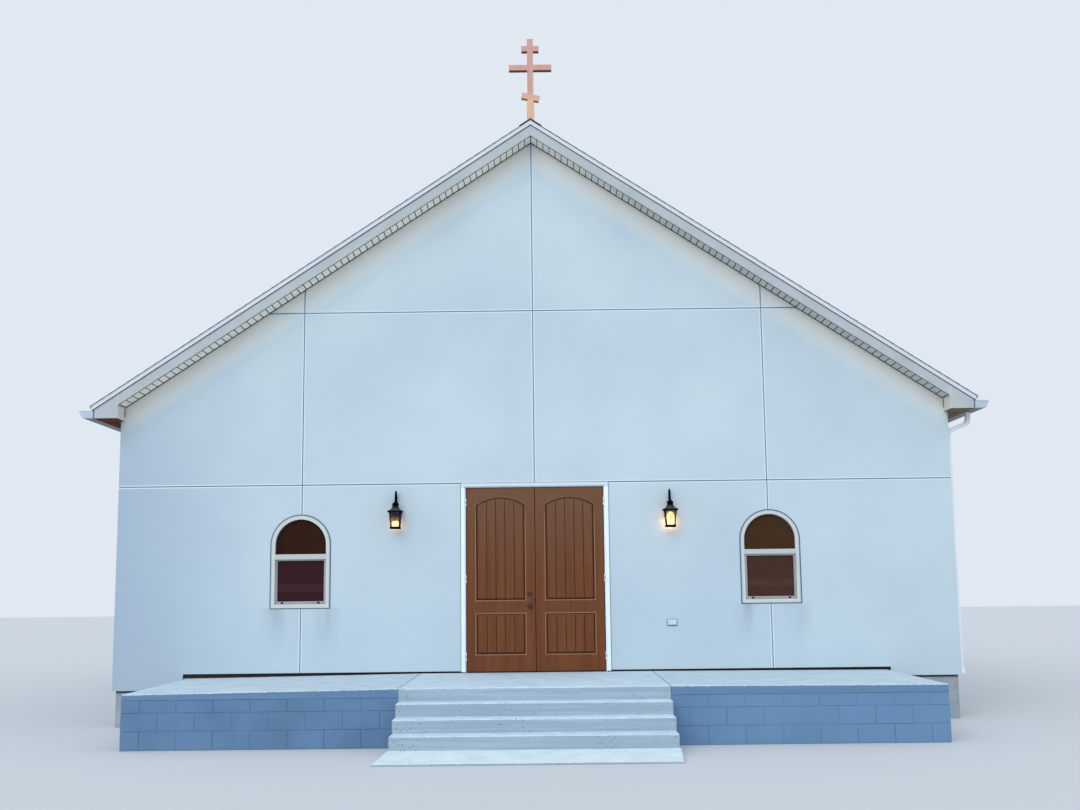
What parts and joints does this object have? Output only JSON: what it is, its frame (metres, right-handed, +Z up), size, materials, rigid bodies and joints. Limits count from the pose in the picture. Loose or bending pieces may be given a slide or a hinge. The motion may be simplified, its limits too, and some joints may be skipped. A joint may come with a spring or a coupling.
{
  "type": "modern church building",
  "caption": "Small gabled church hall with light stucco walls, a pair of outward-opening doors, arched windows, a raised porch with steps and a three-barred cross on the ridge.",
  "frame": {"origin": "under the middle of the whole building, on the level that its lowest feet rest on", "axes": "+Z up; the door front faces -Y; +X is the right hand of a viewer who faces the doors, and X is zero where the two leaves meet"},
  "size_m": [12.0506, 19.69, 9.469],
  "materials": {
    "stucco": "painted smooth stucco",
    "masonry": "painted concrete block",
    "porch_paint": "blue masonry paint on concrete block",
    "concrete": "painted cast concrete, pitted",
    "floor": "troweled concrete",
    "dark_wood": "stained sill timber",
    "shingle": "asphalt shingle",
    "trim_metal": "white coil-coated aluminium",
    "soffit": "ribbed vinyl",
    "white_frame": "white semi-gloss",
    "door": "brown stain on wood-grain fibreglass",
    "bronze": "oil-rubbed bronze",
    "window_glass": "tinted glass",
    "black_metal": "black powder coat",
    "white_plastic": "weatherproof cover",
    "cross_wood": "weathered copper-brown stain"
  },
  "bodies": {
    "root": {"foundation": "masonry", "floor_slab": "floor", "front_sill_left": "dark_wood", "front_sill_right": "dark_wood", "front_wall_left": "stucco", "front_wall_right": "stucco", "front_gable_wall": "stucco", "back_wall": "stucco", "left_wall": "stucco", "right_wall": "stucco", "roof_left": "shingle", "roof_right": "shingle", "ridge_cap": "shingle", "front_fascia_left": "trim_metal", "front_fascia_right": "trim_metal", "back_fascia_left": "trim_metal", "back_fascia_right": "trim_metal", "front_soffit": "soffit", "back_soffit": "soffit", "left_eave_box": "trim_metal", "right_eave_box": "trim_metal", "left_gutter": "trim_metal", "right_gutter": "trim_metal", "left_downspout": "trim_metal", "right_downspout": "trim_metal", "porch_base_left": "porch_paint", "porch_base_right": "porch_paint", "porch_slab_left": "concrete", "porch_slab_right": "concrete", "landing_slab": "concrete", "step_1": "concrete", "step_2": "concrete", "step_3": "concrete", "step_apron": "concrete", "door_frame": "white_frame", "door_threshold": "bronze", "front_window_left_frame": "white_frame", "front_window_left_sash": "white_frame", "front_window_left_glass": "window_glass", "front_window_right_frame": "white_frame", "front_window_right_sash": "white_frame", "front_window_right_glass": "window_glass", "left_window_front": "white_frame", "left_window_middle": "white_frame", "left_window_back": "white_frame", "left_window_glass": "window_glass", "right_window_front": "white_frame", "right_window_middle": "white_frame", "right_window_back": "white_frame", "right_window_glass": "window_glass", "lantern_left": "black_metal", "lantern_right": "black_metal", "outlet_box": "white_plastic", "roof_cross": "cross_wood"},
    "left_leaf": {"door_leaf_left": "door", "door_knob": "bronze", "door_deadbolt": "bronze"},
    "right_leaf": {"door_leaf_right": "door"}
  },
  "joints": [
    {"name": "left_door_hinge", "type": "hinge", "parent": "root", "child": "left_leaf", "pos_m": [-0.92, -5.753, 1.873], "axis": [0, 0, -1], "range_deg": [0, 100]},
    {"name": "right_door_hinge", "type": "hinge", "parent": "root", "child": "right_leaf", "pos_m": [0.92, -5.753, 1.873], "axis": [0, 0, 1], "range_deg": [0, 100]}
  ]
}
